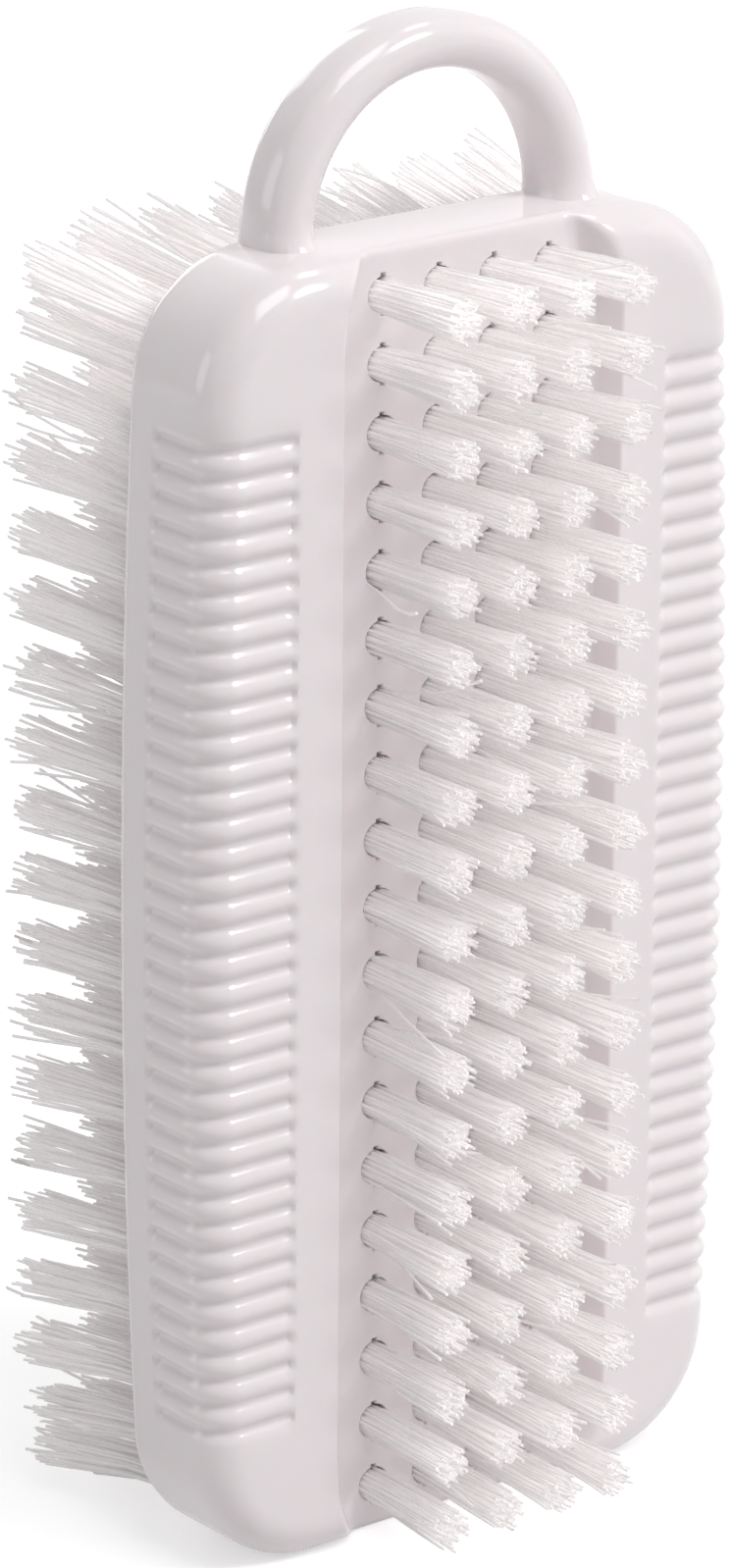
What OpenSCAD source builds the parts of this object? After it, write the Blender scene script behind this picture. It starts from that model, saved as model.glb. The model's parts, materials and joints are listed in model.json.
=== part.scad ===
// Double-sided nail brush with a hanging loop, standing on its flat end.
// X runs across the brush, Y from the narrow front field to the wide back field, Z up its length.
// The origin is under the middle of its box, on the flat end that it stands on.

/* [Handle body] */
// Height of the handle without its loop
body_h = 114.3; // [114:0.1:125]
// Width across the middle of the handle
body_w = 58.6; // [57:0.1:66]
// How much narrower the handle is where its corners start
barrel_drop = 2.4; // [0:0.1:3]
// Thickness from the bottom of the front channel to the back face
core_t = 9.8; // [9.5:0.1:14]
// How far the two grip wings stand forward of the channel floor
wing_t = 2.7; // [1.5:0.1:3]
// Radius of the four corners, seen from the front
corner_r = 11.6; // [9.5:0.1:12]
// Radius of the moulded edge round the front
front_edge_r = 3.4; // [2:0.1:4]
// Radius of the moulded edge round the back
back_edge_r = 1.2; // [0.6:0.1:1.6]
// Width of the front channel between the wings' edges
channel_w = 29.8; // [29:0.1:32]
// How far each channel wall leans in, from edge to floor
channel_draft = 0.8; // [0.2:0.1:1.2]
// Distance from the ends of the handle to where the channel starts to narrow
channel_end = 8.7; // [7:0.1:10]
// Radius on which the channel narrows towards its ends
channel_end_r = 17; // [15:0.5:21]

/* [Grip ribs] */
// Number of grooves on each side
groove_count = 37; // [20:1:37]
// Spacing of the grooves
groove_pitch = 2.39; // [2.2:0.01:2.42]
// Width of each groove
groove_w = 0.8; // [0.5:0.1:1.2]
// Depth of each groove
groove_depth = 0.45; // [0.2:0.05:0.6]
// Distance from the middle of the brush to the grooves' inner ends
grip_inner_x = 19.7; // [18:0.1:22]
// Plain band between the grooves' outer ends and the back face
grip_back_band = 4.3; // [3:0.1:5]

/* [Hanging loop] */
// Radius of the loop's centre line
loop_r = 15.1; // [13.5:0.1:16]
// Thickness of the loop, seen from the front
loop_t = 4.7; // [4:0.1:5.5]
// Depth of the loop from front to back
loop_depth = 6.8; // [6:0.1:7]
// How far the centre of the loop's arc lies under the top of the handle
loop_drop = 0; // [0:0.1:2]
// Gap from the back of the loop to the back face
loop_back_gap = 0; // [0:0.1:0.6]

/* [Tufts] */
// Diameter of each tuft hole
hole_d = 3.1; // [2.8:0.1:3.2]
// Depth of each tuft hole
hole_depth = 4; // [3.5:0.1:4.2]
// Spacing of the rows, up the brush
row_pitch = 5.9; // [5.7:0.05:5.95]
// Spacing of the columns in the front field
front_pitch = 5.9; // [5.2:0.1:6.2]
// Distance from the side of the handle to the centres of the outermost back tufts
side_margin = 4.1; // [4:0.1:4.6]
// Length of the front bristles outside their holes
front_len = 11.5; // [8:0.5:16]
// Length of the back bristles outside their holes
back_len = 15; // [10:0.5:20]
// Gap between a tuft's bound root and its hole
root_gap = 0.05; // [0.02:0.01:0.1]
// How far the outermost back bristles lean outwards at their tips
back_lean = 2.2; // [0:0.1:3]
// How far the outermost front bristles lean outwards at their tips
front_lean = 0.3; // [0:0.1:0.6]
// Distance from the edge of the handle to the corner tufts' centres
corner_margin = 3.6; // [3.4:0.1:4]

/* [Anchor wires] */
// Thickness of the flat wire across the brush
wire_t = 0.35; // [0.2:0.05:0.5]
// Width of the flat wire, along the hole
wire_w = 1.6; // [1:0.1:2]
// How far the wire bites into the plastic at each end
wire_bite = 0.45; // [0.3:0.05:0.6]
// Gap round the wire in its slit
wire_gap = 0.05; // [0.02:0.01:0.1]

/* [Hidden] */
ROWS = 19;
FRONT_COLS = 4;
BACK_COLS = 9;
FRONT_TUFTS = [for (r = [1:ROWS]) str("front_tufts_row_", r < 10 ? "0" : "", r)];
BACK_TUFTS = [for (r = [1:ROWS]) str("back_tufts_row_", r < 10 ? "0" : "", r)];
FRONT_WIRES = [for (c = [1:FRONT_COLS]) str("front_anchors_column_", c)];
BACK_WIRES = [for (c = [1:BACK_COLS]) str("back_anchors_column_", c)];

// One overrun for every cut
over = 1;
// The channel floor lies where the bristle tips of both fields end up equally far from the origin
floor_y = -(core_t + back_len - front_len) / 2;
front_y = floor_y - wing_t;
back_y = floor_y + core_t;
mid_z = body_h / 2;
corner_z = mid_z - corner_r;
end_x = (body_w - barrel_drop) / 2 - corner_r;
mid_x = body_w / 2 - corner_r;
hole_r = hole_d / 2;
root_r = hole_r - root_gap;
back_pitch = (body_w - 2 * side_margin) / (BACK_COLS - 1);
slit_t = wire_t + 2 * wire_gap;
slit_l = hole_d + 2 * (wire_bite + wire_gap);
wire_l = hole_d + 2 * wire_bite;
loop_y = back_y - loop_depth / 2 - loop_back_gap;
loop_z = body_h - loop_drop;
loop_round = loop_t / 2;
loop_flat = loop_depth - loop_t;
leg_sink = 2 * back_edge_r;
grip_outer_y = back_y - grip_back_band;

// Where the barrel's side is sampled, and how much of the drop is left there
barrel_shares = [-1, -0.5, 0, 0.5, 1];

// A strand's corners across its tuft, as shares of the root's radius
strand_root_shares = [[0.12, -0.62], [0.7, -0.5], [0.7, 0.5], [0.12, 0.62]];
strand_tip_shares = [[0.2, -0.75], [0.95, -0.6], [0.95, 0.6], [0.2, 0.75]];
// How far a strand's foot reaches into the bound root, and the corner tufts' place on their arc
strand_sink = root_r / 4;
corner_angle = 42;

function row_z(r) = mid_z + ((ROWS + 1) / 2 - r) * row_pitch;
function front_x(c) = (c - (FRONT_COLS + 1) / 2) * front_pitch;
function is_corner(c, r) = (c == 1 || c == BACK_COLS) && (r == 1 || r == ROWS);
function corner_reach() = corner_r - corner_margin;
function back_side(c) = sign(c - (BACK_COLS + 1) / 2);
function back_end(r) = sign((ROWS + 1) / 2 - r);
function back_x(c, r) = is_corner(c, r)
    ? back_side(c) * (end_x + corner_reach() * cos(corner_angle))
    : (c - (BACK_COLS + 1) / 2) * back_pitch;
function back_z(c, r) = is_corner(c, r)
    ? mid_z + back_end(r) * (corner_z + corner_reach() * sin(corner_angle))
    : row_z(r);
function field_share(c, n) = (c - (n + 1) / 2) / ((n - 1) / 2);

// A ring of round section that lies across the brush
module edge_ring(x, y, z, ring_r, round_r) {
    translate([x, y, z])
        rotate([90, 0, 0])
            rotate_extrude($fn = 56)
                translate([ring_r - round_r, 0])
                    circle(r = round_r, $fn = 24);
}

// The handle's outer form, or the same form drawn in by an inset
module rounded_form(inset) {
    front_r = front_edge_r - inset;
    back_r = back_edge_r - inset;
    hull()
        for (s = barrel_shares, side = [-1, 1]) {
            x = side * (mid_x - (mid_x - end_x) * s * s);
            z = mid_z + s * corner_z;
            edge_ring(x, front_y + front_edge_r, z, corner_r - inset, front_r);
            edge_ring(x, back_y - back_edge_r, z, corner_r - inset, back_r);
        }
}

// The grooves of both grips, as plain slots
module grip_slots() {
    slot_x = body_w / 2 - grip_inner_x + over;
    slot_y = grip_outer_y - front_y + over;
    for (i = [0:groove_count - 1], side = [-1, 1]) {
        z = mid_z + (i - (groove_count - 1) / 2) * groove_pitch;
        translate([side * (grip_inner_x + slot_x / 2), grip_outer_y - slot_y / 2, z])
            cube([slot_x, slot_y, groove_w], center = true);
    }
}

// The open channel down the front, with its leaning walls and its narrower ends
module front_channel() {
    edge_x = channel_w / 2;
    floor_x = edge_x - channel_draft;
    open_x = edge_x + channel_draft / wing_t * over;
    intersection() {
        translate([0, 0, -over])
            linear_extrude(body_h + 2 * over)
                polygon([[-floor_x, floor_y], [floor_x, floor_y], [open_x, front_y - over],
                         [-open_x, front_y - over]]);
        translate([0, floor_y + over, mid_z])
            rotate([90, 0, 0])
                linear_extrude(wing_t + 3 * over)
                    channel_outline(open_x, mid_z - channel_end);
    }
}

// The channel seen from the front: what lies between its two side walls
module channel_outline(half_w, half_h) {
    intersection() {
        wall_outline(half_w, half_h);
        mirror([1, 0])
            wall_outline(half_w, half_h);
    }
}

// All that lies left of the right wall, which is straight up to a height and then turns in on an arc
module wall_outline(half_w, half_h) {
    centre_x = half_w - channel_end_r;
    translate([-half_w, -half_h])
        square([2 * half_w, 2 * half_h]);
    translate([-half_w, -half_h - channel_end_r])
        square([half_w + centre_x, 2 * (half_h + channel_end_r)]);
    for (end = [-1, 1])
        translate([centre_x, end * half_h])
            circle(r = channel_end_r, $fn = 96);
}

// One drilled hole and the slit that its anchor wire cuts, opening towards -Y
module tuft_hole() {
    translate([0, hole_depth, 0])
        rotate([90, 0, 0])
            cylinder(d = hole_d, h = hole_depth + over, $fn = 32);
    translate([-slit_t / 2, -over, -slit_l / 2])
        cube([slit_t, hole_depth + over, slit_l]);
}

module front_holes() {
    for (r = [1:ROWS], c = [1:FRONT_COLS])
        translate([front_x(c), floor_y, row_z(r)])
            tuft_hole();
}

module back_holes() {
    for (r = [1:ROWS], c = [1:BACK_COLS])
        translate([back_x(c, r), back_y, back_z(c, r)])
            mirror([0, 1, 0])
                tuft_hole();
}

// The half-ring that the brush hangs by, with its feet in the top of the handle
module hanging_loop() {
    translate([0, loop_y, loop_z])
        rotate([90, 0, 0])
            rotate_extrude(angle = 180, $fn = 96)
                loop_section();
    for (side = [0, 1])
        mirror([side, 0, 0])
            translate([0, loop_y, loop_z - leg_sink])
                linear_extrude(leg_sink)
                    loop_section();
}

// The loop's stadium section, a little deeper than it is thick
module loop_section() {
    translate([loop_r, 0]) {
        square([loop_t, loop_flat], center = true);
        for (end = [-1, 1])
            translate([0, end * loop_flat / 2])
                circle(r = loop_round, $fn = 48);
    }
}

module handle_body() {
    color("whitesmoke")
        difference() {
            union() {
                difference() {
                    rounded_form(0);
                    grip_slots();
                }
                rounded_form(groove_depth);
                hanging_loop();
            }
            front_channel();
            front_holes();
            back_holes();
        }
}

// One half of a tuft: a four-sided strand from the root to its leaning tip, towards -Y
module strand(side, length, lean_x, lean_z) {
    foot = [for (p = strand_root_shares) [side * p[0] * root_r, strand_sink, p[1] * root_r]];
    tip = [for (p = strand_tip_shares)
        [side * p[0] * root_r + lean_x, -length, p[1] * root_r + lean_z]];
    sides = [for (i = [0:3]) let (j = (i + 1) % 4) each [[i, j, 4 + j], [i, 4 + j, 4 + i]]];
    caps = [[3, 2, 1], [3, 1, 0], [4, 5, 6], [4, 6, 7]];
    faces = concat(sides, caps);
    polyhedron(concat(foot, tip), side < 0 ? faces : [for (f = faces) [f[2], f[1], f[0]]]);
}

// A folded bunch of bristles: its bound root, split round the wire, and two strands
module tuft(length, lean_x, lean_z) {
    difference() {
        translate([0, hole_depth - root_gap, 0])
            rotate([90, 0, 0])
                cylinder(r = root_r, h = hole_depth - root_gap, $fn = 32);
        translate([-slit_t / 2, hole_depth - wire_w - 2 * wire_gap, -slit_l / 2])
            cube([slit_t, wire_w + over, slit_l]);
    }
    for (side = [-1, 1])
        strand(side, length, lean_x, lean_z);
}

module front_tuft_row(r) {
    color("gainsboro")
        for (c = [1:FRONT_COLS])
            translate([front_x(c), floor_y, row_z(r)])
                tuft(front_len, front_lean * field_share(c, FRONT_COLS), -front_lean * field_share(r, ROWS));
}

module back_tuft_row(r) {
    color("gainsboro")
        for (c = [1:BACK_COLS])
            translate([back_x(c, r), back_y, back_z(c, r)])
                mirror([0, 1, 0])
                    tuft(back_len, back_lean * field_share(c, BACK_COLS), -back_lean * field_share(r, ROWS));
}

// A flat wire staple across the bottom of a hole, opening towards -Y
module anchor_wire() {
    translate([-wire_t / 2, hole_depth - wire_gap - wire_w, -wire_l / 2])
        cube([wire_t, wire_w, wire_l]);
}

module front_anchor_column(c) {
    color("silver")
        for (r = [1:ROWS])
            translate([front_x(c), floor_y, row_z(r)])
                anchor_wire();
}

module back_anchor_column(c) {
    color("silver")
        for (r = [1:ROWS])
            translate([back_x(c, r), back_y, back_z(c, r)])
                mirror([0, 1, 0])
                    anchor_wire();
}

handle_body();
for (r = [1:ROWS]) front_tuft_row(r);
for (r = [1:ROWS]) back_tuft_row(r);
for (c = [1:FRONT_COLS]) front_anchor_column(c);
for (c = [1:BACK_COLS]) back_anchor_column(c);
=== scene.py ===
"""Models a double-sided nail brush: a moulded handle with ribbed grips, and two fields of bristle tufts."""

import json
import math

import bpy
import numpy as np
from mathutils import Matrix, Vector

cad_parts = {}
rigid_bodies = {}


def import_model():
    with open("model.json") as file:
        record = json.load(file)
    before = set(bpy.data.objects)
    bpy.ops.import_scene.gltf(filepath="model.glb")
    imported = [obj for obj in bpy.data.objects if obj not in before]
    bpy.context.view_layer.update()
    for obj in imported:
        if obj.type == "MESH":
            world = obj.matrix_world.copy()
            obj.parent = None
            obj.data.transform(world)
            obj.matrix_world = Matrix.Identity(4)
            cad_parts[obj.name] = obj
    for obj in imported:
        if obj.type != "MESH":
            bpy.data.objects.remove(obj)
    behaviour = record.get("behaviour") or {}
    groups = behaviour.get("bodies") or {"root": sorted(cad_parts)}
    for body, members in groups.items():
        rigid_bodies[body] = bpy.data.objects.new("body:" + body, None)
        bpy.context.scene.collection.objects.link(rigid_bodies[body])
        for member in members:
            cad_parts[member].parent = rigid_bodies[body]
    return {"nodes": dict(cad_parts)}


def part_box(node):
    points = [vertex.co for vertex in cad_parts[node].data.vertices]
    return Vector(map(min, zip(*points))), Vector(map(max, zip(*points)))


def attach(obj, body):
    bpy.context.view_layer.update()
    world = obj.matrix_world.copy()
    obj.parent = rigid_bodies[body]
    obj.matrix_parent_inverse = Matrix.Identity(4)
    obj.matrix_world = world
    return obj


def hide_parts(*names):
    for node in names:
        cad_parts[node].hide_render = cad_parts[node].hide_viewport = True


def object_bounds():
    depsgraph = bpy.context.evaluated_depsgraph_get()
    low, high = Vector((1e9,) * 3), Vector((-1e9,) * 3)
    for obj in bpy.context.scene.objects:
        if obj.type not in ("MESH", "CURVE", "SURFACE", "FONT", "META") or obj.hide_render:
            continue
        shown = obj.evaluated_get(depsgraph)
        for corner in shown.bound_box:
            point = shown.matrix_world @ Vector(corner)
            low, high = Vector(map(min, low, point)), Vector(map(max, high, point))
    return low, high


bl_info = {
    "name": "Nail Brush",
    "version": (1, 0, 0),
    "blender": (4, 5, 0),
    "location": "3D View > Sidebar > Brush",
    "description": "Models a double-sided nail brush with ribbed grips and a hanging loop",
    "category": "Add Mesh",
}

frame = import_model()
cad_low, cad_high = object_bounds()
handle_low, handle_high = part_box("handle_body")

MM = 0.001
BODY = "root"


# Small helpers

def linear(hex_colour):
    """Linear red, green, blue and alpha of an sRGB hex colour."""
    parts = [int(hex_colour[i:i + 2], 16) / 255 for i in (1, 3, 5)]
    return [c / 12.92 if c <= 0.04045 else ((c + 0.055) / 1.055) ** 2.4 for c in parts] + [1.0]


def size(name, description, millimetres):
    """A length that a user may change."""
    return bpy.props.FloatProperty(name=name, description=description, default=millimetres * MM,
                                   min=0, unit="LENGTH", precision=5)


def colour(name, description, hex_colour):
    """A colour that a user may change."""
    return bpy.props.FloatVectorProperty(name=name, description=description, subtype="COLOR", size=4,
                                         min=0, max=1, default=linear(hex_colour))


def smooth_step(value, start, end):
    """0 up to start, 1 from end on, and a smooth rise between."""
    share = np.clip((value - start) / (end - start), 0, 1)
    return share * share * (3 - 2 * share)


def deselect():
    """Leaves no object selected."""
    bpy.ops.object.select_all(action="DESELECT")


def new_piece(name):
    """Names the object that an operator has just added, with its place put into its mesh."""
    obj = bpy.context.object
    obj.name = name
    obj.data.name = name
    bpy.ops.object.transform_apply(location=True, rotation=True, scale=True)
    return obj


def activate(obj):
    """Selects one object alone and makes it the active one."""
    deselect()
    obj.select_set(True)
    bpy.context.view_layer.objects.active = obj


def edit(obj, mode="FACE"):
    """Goes into edit mode on one object with nothing selected."""
    activate(obj)
    bpy.ops.object.mode_set(mode="EDIT")
    bpy.ops.mesh.select_mode(type=mode)
    bpy.ops.mesh.select_all(action="DESELECT")


def done():
    """Goes back to object mode."""
    bpy.ops.object.mode_set(mode="OBJECT")


def cut(obj, other, operation):
    """Adds another solid to a piece or cuts it out, and deletes the other solid."""
    activate(obj)
    change = obj.modifiers.new("cut", "BOOLEAN")
    change.operation = operation
    change.solver = "MANIFOLD"
    change.object = other
    bpy.ops.object.modifier_apply(modifier=change.name)
    bpy.data.objects.remove(other)


def mesh_arrays(obj):
    """A mesh's points and faces."""
    points = np.empty(len(obj.data.vertices) * 3)
    obj.data.vertices.foreach_get("co", points)
    return points.reshape(-1, 3), [tuple(p.vertices) for p in obj.data.polygons]


def joined_copies(name, points, faces):
    """One object of many copies: points holds an array of the same mesh's points for each copy."""
    count = points.shape[1]
    mesh = bpy.data.meshes.new(name)
    copies = [tuple(v + i * count for v in face) for i in range(len(points)) for face in faces]
    mesh.from_pydata(points.reshape(-1, 3).tolist(), [], copies)
    obj = bpy.data.objects.new(name, mesh)
    bpy.context.scene.collection.objects.link(obj)
    return obj


def dress(obj, material, slot, *nodes):
    """Gives a finished piece its material and its body, and hides the solids that it stands for."""
    obj.data.materials.clear()
    obj.data.materials.append(material)
    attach(obj, BODY)
    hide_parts(*nodes)


# Sizes and colours

class HandleSizes(bpy.types.PropertyGroup):
    """Sizes of the moulded handle and its loop."""

    body_height: size("Body height", "Height of the handle without its loop", 114.3)
    barrel_drop: size("Barrel drop", "How much narrower the handle is where its corners start", 2.4)
    corner_radius: size("Corner radius", "Radius of the four corners, seen from the front", 11.6)
    front_edge: size("Front edge", "Radius of the moulded edge round the front", 3.4)
    back_edge: size("Back edge", "Radius of the moulded edge round the back", 1.1)
    lip: size("Back lip", "How far the band along the back edge is drawn in at the parting line", 0.18)
    lip_band: size("Lip band", "Width of the band between the parting line and the back face", 1.7)
    wing_height: size("Wing height", "How far the two grip wings stand forward of the channel floor", 2.7)
    channel_width: size("Channel width", "Width of the front channel between the wings' edges", 29.8)
    channel_draft: size("Channel draft", "How far each channel wall leans in from edge to floor", 0.8)
    channel_end: size("Channel end", "Distance from the handle's ends to where the channel narrows", 8.7)
    channel_end_radius: size("Channel end radius", "Radius on which the channel narrows", 17)
    channel_fillet: size("Channel fillet", "Radius in the corner under each channel wall", 0.8)
    channel_edge: size("Channel edge", "Radius of the edge on top of each channel wall", 0.35)
    end_slope: size("End slope", "How much further each channel wall runs out at the channel's ends", 0.9)
    end_edge: size("End edge", "What the radius of the wall's edge gains there", 1.4)
    end_fillet: size("End fillet", "What the radius under the wall gains there", 2)
    floor_end: size("Floor end", "Radius of the edge where the channel floor meets the flat ends", 0.7)
    groove_pitch: size("Groove pitch", "Spacing of the grip's grooves", 2.39)
    groove_depth: size("Groove depth", "Depth of the grip's grooves under the ribs", 0.78)
    grip_inner: size("Grip inner end", "Distance from the middle to the grooves' inner ends", 19.7)
    grip_back_band: size("Grip back band", "Plain band between the grooves and the back face", 4.3)
    loop_radius: size("Loop radius", "Radius of the loop's centre line", 15.1)
    loop_thickness: size("Loop thickness", "Thickness of the loop, seen from the front", 4.7)
    loop_depth: size("Loop depth", "Depth of the loop from front to back", 6.8)
    groove_count: bpy.props.IntProperty(name="Grooves", description="Number of grooves on each side",
                                        default=37, min=2)


class TuftSizes(bpy.types.PropertyGroup):
    """Sizes of the bristle tufts and their holes."""

    hole_diameter: size("Hole diameter", "Diameter of each tuft hole", 3.1)
    hole_depth: size("Hole depth", "Depth of each tuft hole", 4)
    slit_length: size("Slit length", "Length of the slit that the anchor wire cuts across a hole", 3.65)
    slit_width: size("Slit width", "Width of that slit", 0.45)
    hole_chamfer: size("Hole chamfer", "Width of the worn edge round each hole", 0.1)
    filament: size("Filament", "Diameter of one bristle filament", 0.3)
    front_length: size("Front length", "Length of the front bristles outside their holes", 11.5)
    back_length: size("Back length", "Length of the back bristles outside their holes", 15)
    front_lean: size("Front lean", "How far the outermost front tufts lean outwards at their tips", 0.3)
    back_lean: size("Back lean", "How far the outermost back tufts lean outwards at their tips", 2.2)
    front_count: bpy.props.IntProperty(name="Front filaments", description="Filaments in a front tuft",
                                       default=70, min=8)
    back_count: bpy.props.IntProperty(name="Back filaments", description="Filaments in a back tuft",
                                      default=50, min=8)


class Finishes(bpy.types.PropertyGroup):
    """Colours of the brush and the floor."""

    plastic: colour("Plastic", "Moulded plastic of the handle", "#E9E2E4")
    filament: colour("Filament", "Clear to white filament of the bristles", "#F6F4F4")
    wire: colour("Wire", "Flat wire that anchors each tuft", "#B4B4B8")
    floor: colour("Floor", "Pale floor under the brush", "#DADADA")


class StageSettings(bpy.types.PropertyGroup):
    """Where the camera stands, and how strong the light from all round is."""

    azimuth: bpy.props.FloatProperty(name="Azimuth",
                                     description="How far the camera stands to the left of the front",
                                     default=math.radians(38.7), subtype="ANGLE")
    elevation: bpy.props.FloatProperty(name="Elevation", description="How far the camera looks down",
                                       default=math.radians(18.4), subtype="ANGLE")
    roll: bpy.props.FloatProperty(name="Roll", description="How far the picture is turned clockwise",
                                  default=math.radians(0.45), subtype="ANGLE")
    aim: bpy.props.FloatVectorProperty(name="Aim", description="Point in the middle of the picture",
                                       default=(-5.7 * MM, -0.8 * MM, 65.8 * MM), subtype="TRANSLATION")
    distance: size("Distance", "Distance from the camera to the point that it aims at", 600)
    lens: bpy.props.FloatProperty(name="Lens",
                                  description="Focal length in millimetres, over a 36 mm picture",
                                  default=162.4)
    world: bpy.props.FloatProperty(name="World", description="Strength of the light from all round",
                                   default=0.32)


# The handle

class HandleForm:
    """The handle's outer form as sections across it, worked out from its sizes."""

    # Where a section's points lie along each of its flat stretches, as shares of the stretch
    FLOOR_SHARES = (0, 0.6, 0.975)
    WING_SHARES = (0.16, 0.3, 0.36, 0.4, 0.43, 0.46, 0.49, 0.54, 0.62, 0.8)
    SIDE_SHARES = (0.35, 0.65, 0.82, 0.9, 0.95)
    BACK_SHARES = (0.985, 0.6, 0)
    # Further points on the plain band behind the grooves, as distances from the grooves' ends
    BAND_STEPS = (0, 0.3 * MM, 0.6 * MM, 1.2 * MM)
    # Heights of the sections round each groove's middle, as shares of the pitch
    RIB_SHARES = (-0.5, -0.32, -0.18, -0.1, -0.05, 0, 0.05, 0.1, 0.18, 0.32)
    # Half the width of the round valley in the middle of a groove, as a share of the pitch
    VALLEY_SHARE = 0.16
    # Where the grooves start and where they are fully deep, from their ends on the front and on the side
    FRONT_FADE = (-0.15 * MM, 0.4 * MM)
    SIDE_FADE = (0.4 * MM, -0.3 * MM)
    # The most of a channel wall that the round corner at its foot or its head may take
    WALL_SHARE = 0.42
    # Where the section next to the parting step lies at the handle's ends, as a share of the step
    STEP_SHARE = 0.98
    ARC_STEPS = 12
    SMALL_ARC_STEPS = 5
    END_STEPS = 22

    def __init__(self, sizes):
        self.sizes = sizes
        self.half_width = handle_high.x
        self.front_y = handle_low.y
        self.back_y = handle_high.y
        self.floor_y = self.front_y + sizes.wing_height
        self.step_y = self.back_y - sizes.lip_band
        self.grip_end_y = self.back_y - sizes.grip_back_band
        self.mid_z = sizes.body_height / 2
        self.corner_z = self.mid_z - sizes.corner_radius
        self.end_x = self.half_width - sizes.barrel_drop / 2 - sizes.corner_radius
        self.first_groove = self.mid_z - (sizes.groove_count - 1) / 2 * sizes.groove_pitch

    def field_level(self, field):
        """Where the surface lies that a field's bristles stand on: the channel floor or the back face."""
        return self.floor_y if field.turn > 0 else self.back_y

    def levels(self):
        """Heights of the sections: close at the ribs' valleys and at both ends."""
        s = self.sizes
        grip = [self.first_groove + (i + share) * s.groove_pitch
                for i in range(s.groove_count) for share in self.RIB_SHARES]
        grip.append(self.first_groove + (s.groove_count - 0.5) * s.groove_pitch)
        turns = [math.pi / 2 * i / self.END_STEPS for i in range(self.END_STEPS + 1)]
        rooms = [s.corner_radius * (1 - math.sin(turn)) for turn in turns]
        rooms += [s.lip, s.lip * self.STEP_SHARE]
        return sorted(grip + rooms + [s.body_height - room for room in rooms])

    def outline_x(self, z, inset):
        """Half the width at a height, of the front outline drawn in by an inset."""
        s = self.sizes
        rise = abs(z - self.mid_z)
        if rise <= self.corner_z:
            return self.half_width - s.barrel_drop / 2 * (rise / self.corner_z) ** 2 - inset
        reach = s.corner_radius - inset
        return self.end_x + math.sqrt(max(0, reach ** 2 - (rise - self.corner_z) ** 2))

    def groove(self, z):
        """Depth of the grip's surface under its smooth form: round ribs with narrow round valleys between."""
        s = self.sizes
        nearest = min(max(round((z - self.first_groove) / s.groove_pitch), 0), s.groove_count - 1)
        away = abs(z - self.first_groove - nearest * s.groove_pitch) / s.groove_pitch
        edge = 1 - 2 * self.VALLEY_SHARE
        if away > self.VALLEY_SHARE:
            return s.groove_depth * max(0, 1 - 2 * away) ** 2
        return s.groove_depth * edge * (edge + 2 * (self.VALLEY_SHARE - away ** 2 / self.VALLEY_SHARE))

    def channel_points(self, z, wing_y):
        """From the middle of the channel floor, round its fillet, up the wall and over its edge."""
        s = self.sizes
        past = max(0, abs(z - self.mid_z) - (self.mid_z - s.channel_end))
        narrowing = s.channel_end_radius - math.sqrt(s.channel_end_radius ** 2 - past ** 2)
        ending = float(smooth_step(past, 0, s.channel_end))
        rise = 1 - min(z, s.body_height - z) / s.floor_end
        floor_y = self.floor_y + s.floor_end * (1 - math.sqrt(1 - max(0, rise) ** 2))
        share = (floor_y - wing_y) / s.wing_height
        head = Vector((s.channel_width / 2 - narrowing - s.channel_draft * (1 - share), wing_y))
        foot = Vector((head.x - s.channel_draft * share - s.end_slope * ending, floor_y))
        up = (head - foot).normalized()
        room = self.WALL_SHARE * (head - foot).length
        fillet = self.round_corner(foot, Vector((-1, 0)), up, s.channel_fillet + s.end_fillet * ending, room)
        edge = self.round_corner(head, -up, Vector((1, 0)), s.channel_edge + s.end_edge * ending, room)
        floor = [Vector((fillet[0].x * share, floor_y)) for share in self.FLOOR_SHARES]
        return floor + fillet + edge

    def round_corner(self, corner, to_before, to_after, radius, room):
        """The arc that rounds one corner of a section, and takes no more than the room along each side."""
        half = to_before.angle(to_after) / 2
        radius = min(radius, room * math.tan(half))
        centre = corner + (to_before + to_after).normalized() * radius / math.sin(half)
        start = corner + to_before * radius / math.tan(half) - centre
        side = math.copysign(1, to_before.x * to_after.y - to_before.y * to_after.x)
        turn = side * (2 * half - math.pi) / self.SMALL_ARC_STEPS
        return [centre + Matrix.Rotation(turn * i, 2) @ start for i in range(self.SMALL_ARC_STEPS + 1)]

    def edge_start(self, room, radius):
        """Angle at which a round edge starts, where the handle's end leaves it only this much room."""
        return math.asin(min(1, max(0, 1 - room / radius)))

    def grip_share(self, point):
        """1 where a point lies well inside the grip, and less where the grooves run out."""
        front_start, front_full = (self.sizes.grip_inner + away for away in self.FRONT_FADE)
        side_start, side_full = (self.grip_end_y + away for away in self.SIDE_FADE)
        on_front = smooth_step(point.x, front_start, front_full)
        on_side = smooth_step(point.y, side_start, side_full)
        return float(on_front * on_side)

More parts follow.
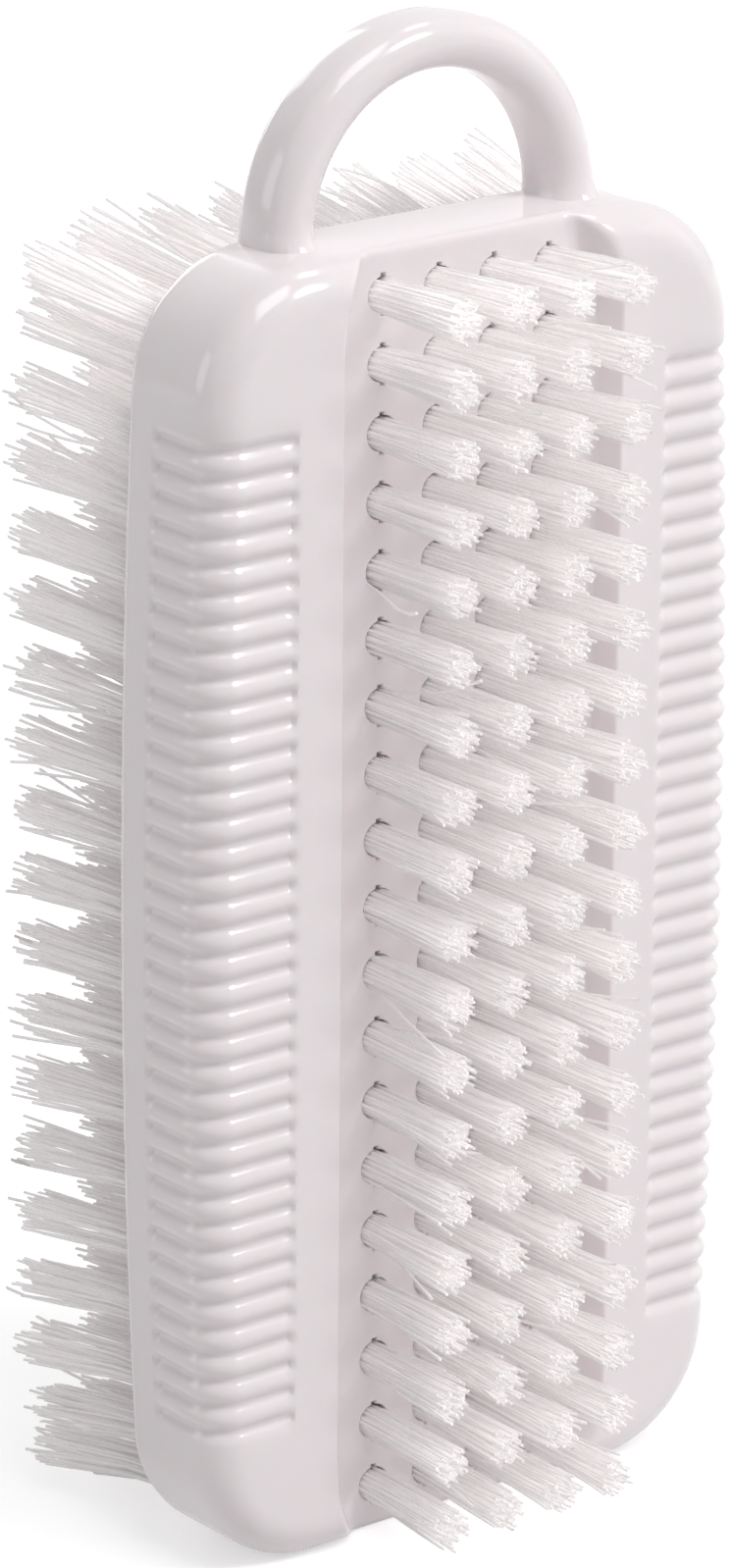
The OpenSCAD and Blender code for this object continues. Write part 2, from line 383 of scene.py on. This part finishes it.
    def half_section(self, z):
        """Points of one half of the section, from the middle of the front to the middle of the back."""
        s = self.sizes
        room = min(z, s.body_height - z)
        start = self.edge_start(room, s.front_edge)
        wing_y = self.front_y + s.front_edge * (1 - math.cos(start))
        points = self.channel_points(z, wing_y)
        turns = [start + (math.pi / 2 - start) * i / self.ARC_STEPS for i in range(self.ARC_STEPS + 1)]
        arc = [Vector((self.outline_x(z, s.front_edge * (1 - math.sin(turn))),
                       self.front_y + s.front_edge * (1 - math.cos(turn)))) for turn in turns]
        wing = [points[-1].lerp(arc[0], share) for share in self.WING_SHARES]
        out = [Vector((0, -1))] * len(points + wing) + [Vector((math.sin(t), -math.cos(t))) for t in turns]
        points += wing + arc
        side_y = [arc[-1].y + (self.grip_end_y - arc[-1].y) * share for share in self.SIDE_SHARES]
        side_y += [self.grip_end_y + away for away in self.BAND_STEPS] + [self.step_y]
        points += [Vector((self.outline_x(z, 0), y)) for y in side_y]
        out += [Vector((1, 0))] * len(side_y)
        depth = self.groove(z)
        for point, outwards in zip(points, out):
            point -= outwards * depth * self.grip_share(point)
        return points + self.back_points(z, room)

    def back_points(self, z, room):
        """From the parting line round the back edge to the middle of the back face."""
        s = self.sizes
        steps = range(self.SMALL_ARC_STEPS + 1)
        if room < s.lip:
            arc = [Vector((self.outline_x(z, room * i / self.SMALL_ARC_STEPS), self.step_y)) for i in steps]
            arc.insert(0, arc[0].copy())
        else:
            end = self.edge_start(room - s.lip, s.back_edge)
            turns = [math.pi / 2 + (end - math.pi / 2) * i / self.SMALL_ARC_STEPS for i in steps]
            arc = [Vector((self.outline_x(z, s.lip + s.back_edge * (1 - math.sin(turn))),
                           self.back_y - s.back_edge * (1 - math.cos(turn)))) for turn in turns]
            arc.insert(0, Vector((self.outline_x(z, s.lip), self.step_y + s.lip)))
        return arc + [Vector((arc[-1].x * share, arc[-1].y)) for share in self.BACK_SHARES]

    def section(self, z):
        """The whole section at a height, closed on itself."""
        half = self.half_section(z)
        ring = half + [Vector((-p.x, p.y)) for p in reversed(half[:-1])]
        return [(p.x, p.y, z) for p in ring]


# How near each other two points of the grid are when they are one point of the handle
MERGE_DISTANCE = 0.002 * MM
# How far a point may lie off a flat end, and a face off a flat floor or back, that it belongs to
END_TOLERANCE = 0.01 * MM
FLAT_TOLERANCE = 0.001 * MM
# How squarely such a face looks to the front or the back, as the cosine of its tilt
FLAT_FACING = 0.9999
# Width of the narrow border round a flat end
END_BORDER = 0.15 * MM
HANDLE_SMOOTHING = math.radians(32)


def make_shell(form):
    """The handle's body: a grid wrapped round it, section by section, and closed at both ends."""
    rings = np.array([form.section(z) for z in form.levels()])
    deselect()
    bpy.ops.mesh.primitive_grid_add(x_subdivisions=rings.shape[1] - 1, y_subdivisions=rings.shape[0] - 1)
    obj = new_piece("handle")
    obj.data.vertices.foreach_set("co", rings.reshape(-1))
    edit(obj, "VERT")
    bpy.ops.mesh.select_all(action="SELECT")
    bpy.ops.mesh.remove_doubles(threshold=MERGE_DISTANCE)
    done()
    for z in (0, form.sizes.body_height):
        close_end(obj, z)
    edit(obj)
    bpy.ops.mesh.select_all(action="SELECT")
    bpy.ops.mesh.normals_make_consistent(inside=False)
    done()
    for level, facing in ((form.floor_y, -1), (form.back_y, 1)):
        flatten(obj, level, facing)
    return obj


def close_end(obj, z):
    """Fills one end with a flat face that has a narrow border, so that its shading stays flat."""
    edit(obj, "VERT")
    bpy.ops.mesh.select_non_manifold()
    done()
    for vertex in obj.data.vertices:
        vertex.select = vertex.select and abs(vertex.co.z - z) < END_TOLERANCE
    bpy.ops.object.mode_set(mode="EDIT")
    bpy.ops.mesh.edge_face_add()
    bpy.ops.mesh.select_mode(type="FACE")
    bpy.ops.mesh.inset(thickness=END_BORDER)
    done()


def flatten(obj, level, facing):
    """Joins the strips of a flat floor or back into one face, and leaves a narrow border round it."""
    edit(obj)
    done()
    for face in obj.data.polygons:
        flat = face.normal.y * facing > FLAT_FACING
        face.select = flat and abs(face.center.y - level) < FLAT_TOLERANCE
    bpy.ops.object.mode_set(mode="EDIT")
    bpy.ops.mesh.select_less()
    bpy.ops.mesh.dissolve_faces()
    done()


# Two places closer than this are the same
SAME_PLACE = 0.0001 * MM
LOOP_CORNERS = 32
LOOP_STEPS = 64
# How much the loop's first sections over the handle are widened, from its feet upwards
FOOT_FLARES = (1.1, 1.03, 1.01)
# How far the loop's feet reach down into the handle
FOOT_DEPTH = 1.5 * MM


def flare_feet(obj, form, centre):
    """Widens the loop's first sections, so that both feet run out into the handle."""
    radius = form.sizes.loop_radius
    step = math.pi / LOOP_STEPS
    points, _ = mesh_arrays(obj)
    for count, flare in enumerate(FOOT_FLARES):
        for turn in (math.pi - step * count, step * count):
            middle = Vector((radius * math.cos(turn), 0, radius * math.sin(turn)))
            for vertex, point in zip(obj.data.vertices, points):
                away = Vector(point) - centre
                if abs(math.atan2(abs(away.z), away.x) - turn) < step / 4:
                    vertex.co.x += (away - middle).x * (flare - 1)
                    vertex.co.y += (point[1] - form.back_y) * (flare - 1)


def make_loop(form):
    """The half-ring that the brush hangs by: an oval section spun through half a turn, with flared feet."""
    s = form.sizes
    radius = s.loop_thickness / 2
    flat = (s.loop_depth - s.loop_thickness) / 2
    centre = Vector((0, form.back_y - s.loop_depth / 2, handle_high.z - s.loop_radius - radius))
    deselect()
    bpy.ops.mesh.primitive_circle_add(vertices=LOOP_CORNERS, radius=radius, fill_type="NOTHING",
                                      location=centre + Vector((s.loop_radius, 0, 0)))
    obj = new_piece("loop")
    for vertex in obj.data.vertices:
        away_y = vertex.co.y - centre.y
        if abs(away_y) > SAME_PLACE:
            vertex.co.y += math.copysign(flat, away_y)
    edit(obj, "VERT")
    bpy.ops.mesh.select_all(action="SELECT")
    bpy.ops.mesh.spin(steps=LOOP_STEPS, angle=math.pi, center=centre, axis=(0, 1, 0))
    done()
    flare_feet(obj, form, centre)
    edit(obj, "EDGE")
    bpy.ops.mesh.select_non_manifold()
    bpy.ops.mesh.extrude_region_move(TRANSFORM_OT_translate={"value": (0, 0, -FOOT_DEPTH)})
    bpy.ops.mesh.select_all(action="DESELECT")
    bpy.ops.mesh.select_non_manifold()
    bpy.ops.mesh.fill()
    bpy.ops.mesh.select_all(action="SELECT")
    bpy.ops.mesh.normals_make_consistent(inside=False)
    done()
    return obj


class FrontField:
    """The short bristles in the front channel, which point to -Y."""

    name = "front"
    columns = 4
    turn = 1
    seed = 100
    # How far the tips spread, how unevenly they are cut, how loosely they lie and the share of strays
    spread = 1.22
    ragged = 0.9 * MM
    loose = 0.18 * MM
    strays = 0.035


class BackField:
    """The long bristles all over the back, which point to +Y."""

    name = "back"
    columns = 9
    turn = -1
    seed = 200
    spread = 1.38
    ragged = 1.5 * MM
    loose = 0.3 * MM
    strays = 0.08


FIELDS = (FrontField, BackField)
ROWS = 19


def tuft_places(field):
    """Place of every tuft in a field, row by row, read from the anchor wires that hold them."""
    rows = [[] for _ in range(ROWS)]
    for column in range(1, field.columns + 1):
        wire = frame["nodes"][f"{field.name}_anchors_column_{column}"]
        points, _ = mesh_arrays(wire)
        points = points[np.argsort(-points[:, 2])]
        for row, group in zip(rows, np.split(points, ROWS)):
            low, high = group.min(0), group.max(0)
            row.append(((low[0] + high[0]) / 2, (low[2] + high[2]) / 2))
    return rows


# A round and a square outline that reach one unit from the middle and face along Y
ROUND = {"vertices": 28, "radius": 1, "rotation": (math.pi / 2, 0, 0)}
SQUARE = {"vertices": 4, "radius": math.sqrt(2), "rotation": (math.pi / 2, math.pi / 4, 0)}
# How far the punches stand out of the holes, so that they cut right through the surface
OVERCUT = 0.5 * MM


def make_punch(name, outline, tufts, half_x, half_z):
    """A solid that cuts a hole open to -Y: an outline at its bottom, pulled out and widened on top."""
    deselect()
    bpy.ops.mesh.primitive_circle_add(fill_type="NGON", **outline)
    obj = new_piece(name)
    for vertex in obj.data.vertices:
        vertex.co = (vertex.co.x * half_x, tufts.hole_depth, vertex.co.z * half_z)
    chamfer = tufts.hole_chamfer
    wider = (1 + chamfer / half_x, 1, 1 + chamfer / half_z)
    edit(obj)
    bpy.ops.mesh.select_all(action="SELECT")
    for travel, growth in ((tufts.hole_depth - chamfer, None), (chamfer, wider), (OVERCUT, None)):
        bpy.ops.mesh.extrude_region_move(TRANSFORM_OT_translate={"value": (0, -travel, 0)})
        if growth:
            bpy.ops.transform.resize(value=growth, center_override=(0, 0, 0))
    bpy.ops.mesh.select_all(action="SELECT")
    bpy.ops.mesh.normals_make_consistent(inside=False)
    done()
    return obj


def make_cutter(tufts):
    """One tuft hole with the slit across it, opening towards -Y at the origin."""
    radius = tufts.hole_diameter / 2
    bore = make_punch("bore", ROUND, tufts, radius, radius)
    slit = make_punch("slit", SQUARE, tufts, tufts.slit_width / 2, tufts.slit_length / 2)
    cut(bore, slit, "UNION")
    return bore


def drill(obj, form, tufts):
    """Cuts every tuft hole of both fields."""
    cutter = make_cutter(tufts)
    points, faces = mesh_arrays(cutter)
    bpy.data.objects.remove(cutter)
    moved = []
    for field in FIELDS:
        y = form.field_level(field)
        for row in tuft_places(field):
            moved += [points * (field.turn, field.turn, 1) + (x, y, z) for x, z in row]
    cut(obj, joined_copies("cutters", np.array(moved), faces), "DIFFERENCE")


class BRUSH_OT_handle(bpy.types.Operator):
    """Models the moulded handle with its grips, channel, tuft holes and loop"""

    bl_idname = "brush.handle"
    bl_label = "Handle"

    def execute(self, context):
        form = HandleForm(context.scene.brush_handle)
        handle = make_shell(form)
        cut(handle, make_loop(form), "UNION")
        drill(handle, form, context.scene.brush_tufts)
        activate(handle)
        bpy.ops.object.shade_smooth_by_angle(angle=HANDLE_SMOOTHING)
        dress(handle, moulded_polypropylene(context.scene.brush_finishes), "moulded_plastic", "handle_body")
        return {"FINISHED"}


# The tufts

FILAMENT_CORNERS = 6
# Where a filament's rings lie between its ends, as shares of its length
RING_SHARES = (0.35, 0.62, 0.84)
FILAMENT_SMOOTHING = math.radians(70)
# How deep in the hole the filaments start, as a share of its depth, and their room at its wall in diameters
SEAT_SHARE = 0.6
WALL_ROOM = 0.6
# The turn from one filament to the next that spreads them evenly, and about how far they lie off it
GOLDEN_TURN = math.pi * (3 - math.sqrt(5))
PLACE_NOISE = 0.05 * MM
# Filaments nearer to the wire than this are pushed away from it
WIRE_REACH = 0.2 * MM
WIRE_PUSH = 0.15 * MM
WHOLE_TURN = 6.28
# About how far strays end off their place, and how far they bend
STRAY_TIP = 1.1 * MM
STRAY_BEND = 0.7 * MM
# How much of the unevenness of the tips lies past the tuft's length
LONG_SHARE = 0.35
# About how steeply the tips are cut, as rise over run, and where the points of a filament's tip start
CUT_SLANT = 0.25
TIP_LEVEL = -0.99
# How far the strands stay off the floor, and how far they may reach past the sides of the CAD
FLOOR_ROOM = 0.15 * MM
SIDE_ROOM = 0.3 * MM


def make_filament(tufts):
    """One filament of unit length along -Y, with three rings between its ends and a clean cut tip."""
    deselect()
    bpy.ops.mesh.primitive_cylinder_add(vertices=FILAMENT_CORNERS, radius=tufts.filament / 2, depth=1,
                                        end_fill_type="NGON", location=(0, -0.5, 0),
                                        rotation=(math.pi / 2, 0, 0))
    obj = new_piece("filament")
    for share in RING_SHARES:
        edit(obj)
        bpy.ops.mesh.select_all(action="SELECT")
        bpy.ops.mesh.bisect(plane_co=(0, -share, 0), plane_no=(0, 1, 0))
        done()
    points, faces = mesh_arrays(obj)
    bpy.data.objects.remove(obj)
    return points, faces


def bunch(points, tufts, field, count, length, lean, rng):
    """The filaments of one tuft, at the origin and pointing to -Y, with a shade for each."""
    # Where the filaments stand in the hole, on both sides of the wire
    reach = tufts.hole_diameter / 2 - tufts.filament * WALL_ROOM
    index = np.arange(count) + 0.5
    radius = reach * np.sqrt(index / count)
    turn = index * GOLDEN_TURN + rng.uniform(0, WHOLE_TURN)
    root = np.stack([radius * np.cos(turn), radius * np.sin(turn)], 1)
    root += rng.normal(0, PLACE_NOISE, (count, 2))
    root[:, 0] += np.where(np.abs(root[:, 0]) < WIRE_REACH, np.sign(root[:, 0]) * WIRE_PUSH, 0)
    # Where their tips are, and how far they bow on the way
    tip = lean + root * field.spread + rng.normal(0, field.loose, (count, 2))
    bend = rng.normal(0, field.loose, (count, 2))
    stray = rng.random(count) < field.strays
    tip[stray] += rng.normal(0, STRAY_TIP, (stray.sum(), 2))
    bend[stray] += rng.normal(0, STRAY_BEND, (stray.sum(), 2))
    # Every point of every filament: how far out it lies, and how far across
    seat = tufts.hole_depth * SEAT_SHARE
    outside = length + rng.uniform(-field.ragged, field.ragged * LONG_SHARE, count)
    along = -points[None, :, 1] * (outside + seat)[:, None] - seat
    share = np.clip(along / outside[:, None], 0, 1)[..., None]
    across = root[:, None] * (1 - share) + tip[:, None] * share
    across += bend[:, None] * (share * (1 - share)) * 2
    # The tips are cut at a slant
    tilt = rng.normal(0, CUT_SLANT, (count, 2))
    slant = tilt[:, :1] * points[None, :, 0] + tilt[:, 1:] * points[None, :, 2]
    slant *= points[None, :, 1] < TIP_LEVEL
    placed = np.stack([across[..., 0] + points[None, :, 0],
                       -along + slant,
                       across[..., 1] + points[None, :, 2]], -1)
    shade = np.repeat(rng.uniform(0, 1, count)[:, None], len(points), 1)
    return placed, shade


def make_field(field, level, tufts, filament, material):
    """Every row of one field, one piece to a row."""
    points, faces = filament
    length = getattr(tufts, f"{field.name}_length")
    most = getattr(tufts, f"{field.name}_lean")
    count = getattr(tufts, f"{field.name}_count")
    places = tuft_places(field)
    middle = field.columns // 2
    high_x = max(abs(x) for row in places for x, _ in row)
    mid_z = (places[0][middle][1] + places[-1][middle][1]) / 2
    high_z = places[0][middle][1] - mid_z
    for number, row in enumerate(places, 1):
        rng = np.random.default_rng(field.seed + number)
        name = f"{field.name}_tufts_row_{number:02d}"
        parts = []
        shades = []
        for x, z in row:
            lean = np.array([field.turn * x / high_x, (z - mid_z) / high_z]) * most
            placed, shade = bunch(points, tufts, field, count, length, lean, rng)
            parts.append(placed * (field.turn, field.turn, 1) + (x, level, z))
            shades.append(shade)
        placed = np.concatenate(parts)
        placed[..., 2] = np.maximum(placed[..., 2], FLOOR_ROOM)
        placed[..., 0] = np.clip(placed[..., 0], cad_low.x - SIDE_ROOM, cad_high.x + SIDE_ROOM)
        obj = joined_copies(name + "_filaments", placed, faces)
        values = obj.data.attributes.new("shade", "FLOAT", "POINT")
        values.data.foreach_set("value", np.concatenate(shades).reshape(-1))
        activate(obj)
        bpy.ops.object.shade_smooth_by_angle(angle=FILAMENT_SMOOTHING)
        dress(obj, material, "bristle_filament", name)


class BRUSH_OT_tufts(bpy.types.Operator):
    """Models the tufts of both bristle fields, filament by filament"""

    bl_idname = "brush.tufts"
    bl_label = "Bristle tufts"

    def execute(self, context):
        form = HandleForm(context.scene.brush_handle)
        tufts = context.scene.brush_tufts
        filament = make_filament(tufts)
        material = drawn_filament(context.scene.brush_finishes)
        for field in FIELDS:
            make_field(field, form.field_level(field), tufts, filament, material)
        return {"FINISHED"}


class BRUSH_OT_wires(bpy.types.Operator):
    """Gives the anchor wires their drawn steel"""

    bl_idname = "brush.wires"
    bl_label = "Anchor wires"

    def execute(self, context):
        steel = drawn_steel(context.scene.brush_finishes)
        for name, node in frame["nodes"].items():
            if "_anchors_" in name:
                node.data.materials.clear()
                node.data.materials.append(steel)
        return {"FINISHED"}


# Materials

# Colour inputs and output of a Mix node, and both shader inputs of a Mix Shader, which share their names
LOW_COLOUR = 6
HIGH_COLOUR = 7
MIXED_COLOUR = 2
FIRST_SHADER = 1
SECOND_SHADER = 2


def darker(shade, share):
    """A colour with a share of its brightness."""
    return [c * share for c in shade[:3]] + [1]


def add_node(tree, kind, settings=(), links=()):
    """Adds a node, sets its properties and input values, and links its inputs from other nodes' outputs."""
    node = tree.nodes.new(kind)
    for key, value in dict(settings).items():
        if isinstance(key, str) and hasattr(node, key):
            setattr(node, key, value)
        else:
            node.inputs[key].default_value = value
    for key, source in dict(links).items():
        tree.links.new(source, node.inputs[key])
    return node


def new_material(name):
    """An empty material and its node tree with an output."""
    material = bpy.data.materials.new(name)
    material.use_nodes = True
    tree = material.node_tree
    tree.nodes.clear()
    return material, tree, add_node(tree, "ShaderNodeOutputMaterial")


def moulded_polypropylene(finishes):
    """White polypropylene, injection moulded: soft sheen, light that sinks in a little, faint flow marks."""
    material, tree, output = new_material("moulded_polypropylene")
    place = add_node(tree, "ShaderNodeTexCoord")
    # Flow marks of the melt, about 14 mm wide, which vary the colour and the gloss a little
    clouds = add_node(tree, "ShaderNodeTexNoise", {"Scale": 1 / (14 * MM), "Detail": 2},
                      {"Vector": place.outputs["Object"]})
    tint = add_node(tree, "ShaderNodeMix",
                    {"data_type": "RGBA", LOW_COLOUR: darker(finishes.plastic, 0.975),
                     HIGH_COLOUR: finishes.plastic},
                    {"Factor": clouds.outputs["Fac"]})
    gloss = add_node(tree, "ShaderNodeMapRange", {"To Min": 0.1, "To Max": 0.17},
                     {"Value": clouds.outputs["Fac"]})
    # The mould's own grain is finer than 0.1 mm, and is drawn at 0.5 mm so that it shows
    grain = add_node(tree, "ShaderNodeTexNoise", {"Scale": 1 / (0.5 * MM), "Detail": 3},
                     {"Vector": place.outputs["Object"]})
    bump = add_node(tree, "ShaderNodeBump", {"Strength": 0.06, "Distance": 0.05 * MM},
                    {"Height": grain.outputs["Fac"]})
    surface = add_node(tree, "ShaderNodeBsdfPrincipled",
                       {"IOR": 1.49, "Subsurface Weight": 0.12, "Subsurface Scale": 1.2 * MM},
                       {"Base Color": tint.outputs[MIXED_COLOUR], "Roughness": gloss.outputs["Result"],
                        "Normal": bump.outputs["Normal"]})
    tree.links.new(surface.outputs["BSDF"], output.inputs["Surface"])
    return material


def drawn_filament(finishes):
    """Clear nylon filament, drawn and cut: nearly white in the bunch, as light passes between strands."""
    material, tree, output = new_material("drawn_nylon_filament")
    # Each strand has its own shade, so that a bunch shows its single strands
    shade = add_node(tree, "ShaderNodeAttribute", {"attribute_name": "shade"})
    tint = add_node(tree, "ShaderNodeMix",
                    {"data_type": "RGBA", LOW_COLOUR: darker(finishes.filament, 0.97),
                     HIGH_COLOUR: finishes.filament},
                    {"Factor": shade.outputs["Fac"]})
    surface = add_node(tree, "ShaderNodeBsdfPrincipled", {"IOR": 1.53, "Roughness": 0.22},
                       {"Base Color": tint.outputs[MIXED_COLOUR]})
    through = add_node(tree, "ShaderNodeBsdfTranslucent", {}, {"Color": tint.outputs[MIXED_COLOUR]})
    strand = add_node(tree, "ShaderNodeMixShader", {"Fac": 0.22},
                      {FIRST_SHADER: surface.outputs["BSDF"], SECOND_SHADER: through.outputs["BSDF"]})
    # A clear strand casts nearly no shadow on the ones behind it
    path = add_node(tree, "ShaderNodeLightPath")
    passing = add_node(tree, "ShaderNodeMath", {"operation": "MULTIPLY", 1: 0.95},
                       {0: path.outputs["Is Shadow Ray"]})
    clear = add_node(tree, "ShaderNodeBsdfTransparent")
    both = add_node(tree, "ShaderNodeMixShader", {},
                    {"Fac": passing.outputs["Value"], FIRST_SHADER: strand.outputs["Shader"],
                     SECOND_SHADER: clear.outputs["BSDF"]})
    tree.links.new(both.outputs["Shader"], output.inputs["Surface"])
    return material


def drawn_steel(finishes):
    """Galvanised steel wire, drawn flat: a grey metal with fine lines along its length."""
    material, tree, output = new_material("drawn_steel_wire")
    place = add_node(tree, "ShaderNodeTexCoord")
    # Lines that the die leaves, drawn 0.1 mm wide and 3 mm long
    stretch = add_node(tree, "ShaderNodeMapping", {"Scale": (1 / (0.1 * MM), 1 / (0.1 * MM), 1 / (3 * MM))},
                       {"Vector": place.outputs["Object"]})
    lines = add_node(tree, "ShaderNodeTexNoise", {"Scale": 1, "Detail": 2},
                     {"Vector": stretch.outputs["Vector"]})
    rough = add_node(tree, "ShaderNodeMapRange", {"To Min": 0.25, "To Max": 0.45},
                     {"Value": lines.outputs["Fac"]})
    surface = add_node(tree, "ShaderNodeBsdfPrincipled", {"Metallic": 1, "Base Color": finishes.wire},
                       {"Roughness": rough.outputs["Result"]})
    tree.links.new(surface.outputs["BSDF"], output.inputs["Surface"])
    return material


# The stage

# Width of the floor, in metres
FLOOR_WIDTH = 6
# How far from the brush the paper starts to look whiter, and where it is quite white, in metres
FADE_START = 0.3
FADE_END = 0.9
# How bright the paper looks of itself near the brush, where it still shows the shadow
NEAR_GLOW = 0.5

# Name, place and width in metres, and brightness at the brush as a share of white, of every soft lamp
LAMPS = (
    ("key", (0.9, -1.4, 1.5), 0.5, 0.32),
    ("top_front", (-0.1, -0.9, 1.9), 1, 0.37),
    ("top_right", (0.8, -0.1, 1.7), 0.3, 0.12),
    ("right", (1.6, -0.7, 0.6), 1, 0.06),
    ("back_left", (-1.6, 1, 0.6), 0.8, 0.11),
    ("back", (0.3, 1.9, 0.8), 1, 0.24),
)

# Light in a white tuft bounces, and passes through strands, far more often than the defaults follow
BOUNCES = 16
STRANDS_PASSED = 64


def white_for_the_eye(tree):
    """1 for the rays that show the background itself, in a mirror or through glass, and 0 for all others."""
    path = add_node(tree, "ShaderNodeLightPath")
    direct = add_node(tree, "ShaderNodeMath", {"operation": "MAXIMUM"},
                      {0: path.outputs["Is Camera Ray"], 1: path.outputs["Is Glossy Ray"]})
    seen = add_node(tree, "ShaderNodeMath", {"operation": "MAXIMUM"},
                    {0: direct.outputs["Value"], 1: path.outputs["Is Transmission Ray"]})
    return seen.outputs["Value"]


def matt_paper(finishes):
    """Matt white studio paper: it takes a soft shadow, and looks white where none falls and further off."""
    material, tree, output = new_material("matt_studio_paper")
    place = add_node(tree, "ShaderNodeTexCoord")
    # The paper's fibres are finer than 0.1 mm, and are drawn at 2 mm so that they show
    fibre = add_node(tree, "ShaderNodeTexNoise", {"Scale": 1 / (2 * MM)}, {"Vector": place.outputs["Object"]})
    bump = add_node(tree, "ShaderNodeBump", {"Strength": 0.02, "Distance": 0.1 * MM},
                    {"Height": fibre.outputs["Fac"]})
    paper = add_node(tree, "ShaderNodeBsdfDiffuse", {"Color": finishes.floor},
                     {"Normal": bump.outputs["Normal"]})
    away = add_node(tree, "ShaderNodeVectorMath", {"operation": "LENGTH"},
                    {"Vector": place.outputs["Object"]})
    fade = add_node(tree, "ShaderNodeMapRange",
                    {"From Min": FADE_START, "From Max": FADE_END, "To Min": NEAR_GLOW, "To Max": 1},
                    {"Value": away.outputs["Value"]})
    glow = add_node(tree, "ShaderNodeMath", {"operation": "MULTIPLY"},
                    {0: white_for_the_eye(tree), 1: fade.outputs["Result"]})
    light = add_node(tree, "ShaderNodeEmission", {}, {"Strength": glow.outputs["Value"]})
    both = add_node(tree, "ShaderNodeAddShader", {},
                    {0: paper.outputs["BSDF"], 1: light.outputs["Emission"]})
    tree.links.new(both.outputs["Shader"], output.inputs["Surface"])
    return material


def light_world(strength):
    """Even light from all round, which looks white to the eye."""
    world = bpy.data.worlds.new("studio")
    bpy.context.scene.world = world
    world.use_nodes = True
    tree = world.node_tree
    tree.nodes.clear()
    level = add_node(tree, "ShaderNodeMapRange", {"To Min": strength, "To Max": 1},
                     {"Value": white_for_the_eye(tree)})
    back = add_node(tree, "ShaderNodeBackground", {"Color": (1, 1, 1, 1)},
                    {"Strength": level.outputs["Result"]})
    output = add_node(tree, "ShaderNodeOutputWorld")
    tree.links.new(back.outputs["Background"], output.inputs["Surface"])


def add_lamp(name, place, width, brightness):
    """A soft square lamp aimed at the middle of the brush, as bright there as a share of white."""
    target = Vector((0, 0, handle_high.z / 2))
    away = Vector(place) - target
    lamp = bpy.data.lights.new(name, "AREA")
    lamp.size = width
    lamp.energy = brightness * math.pi ** 2 * away.length_squared
    obj = bpy.data.objects.new(name, lamp)
    obj.location = place
    obj.rotation_euler = away.to_track_quat("Z", "Y").to_euler()
    bpy.context.scene.collection.objects.link(obj)


def add_camera(stage):
    """The camera at the picture's angle."""
    azimuth, elevation = stage.azimuth, stage.elevation
    ahead = Vector((math.sin(azimuth) * math.cos(elevation), math.cos(azimuth) * math.cos(elevation),
                    -math.sin(elevation)))
    camera = bpy.data.objects.new("camera", bpy.data.cameras.new("camera"))
    camera.location = Vector(stage.aim) - ahead * stage.distance
    turn = ahead.to_track_quat("-Z", "Y").to_matrix().to_4x4() @ Matrix.Rotation(stage.roll, 4, "Z")
    camera.rotation_euler = turn.to_euler()
    camera.data.lens = stage.lens
    bpy.context.scene.collection.objects.link(camera)
    bpy.context.scene.camera = camera


class BRUSH_OT_stage(bpy.types.Operator):
    """Sets up the floor, the soft lamps and the camera"""

    bl_idname = "brush.stage"
    bl_label = "Stage"

    def execute(self, context):
        stage = context.scene.brush_stage
        deselect()
        bpy.ops.mesh.primitive_plane_add(size=FLOOR_WIDTH, location=(0, 0, 0))
        floor = new_piece("floor")
        floor.data.materials.append(matt_paper(context.scene.brush_finishes))
        light_world(stage.world)
        for lamp in LAMPS:
            add_lamp(*lamp)
        add_camera(stage)
        context.scene.view_settings.view_transform = "Standard"
        context.scene.cycles.max_bounces = BOUNCES
        context.scene.cycles.diffuse_bounces = BOUNCES
        context.scene.cycles.transparent_max_bounces = STRANDS_PASSED
        return {"FINISHED"}


# The sidebar panel, and what runs it all

class BRUSH_PT_sidebar(bpy.types.Panel):
    """Lists the sizes, the finishes and the steps"""

    bl_idname = "BRUSH_PT_sidebar"
    bl_label = "Nail Brush"
    bl_space_type = "VIEW_3D"
    bl_region_type = "UI"
    bl_category = "Brush"

    def draw(self, context):
        for group in ("brush_handle", "brush_tufts", "brush_finishes", "brush_stage"):
            box = self.layout.box()
            settings = getattr(context.scene, group)
            for key in settings.bl_rna.properties.keys():
                if key not in ("rna_type", "name"):
                    box.prop(settings, key)
        for step in STEPS:
            self.layout.operator(step.bl_idname)


GROUPS = {"brush_handle": HandleSizes, "brush_tufts": TuftSizes, "brush_finishes": Finishes,
          "brush_stage": StageSettings}
STEPS = (BRUSH_OT_stage, BRUSH_OT_handle, BRUSH_OT_tufts, BRUSH_OT_wires)


def register():
    """Adds the classes and the scene's settings."""
    for name, group in GROUPS.items():
        bpy.utils.register_class(group)
        setattr(bpy.types.Scene, name, bpy.props.PointerProperty(type=group))
    for step in STEPS:
        bpy.utils.register_class(step)
    bpy.utils.register_class(BRUSH_PT_sidebar)


def unregister():
    """Takes them away again."""
    bpy.utils.unregister_class(BRUSH_PT_sidebar)
    for step in reversed(STEPS):
        bpy.utils.unregister_class(step)
    for name, group in GROUPS.items():
        delattr(bpy.types.Scene, name)
        bpy.utils.unregister_class(group)


def main():
    """Models the brush and its stage."""
    register()
    bpy.ops.brush.stage()
    bpy.ops.brush.handle()
    bpy.ops.brush.tufts()
    bpy.ops.brush.wires()


if __name__ == "__main__":
    main()
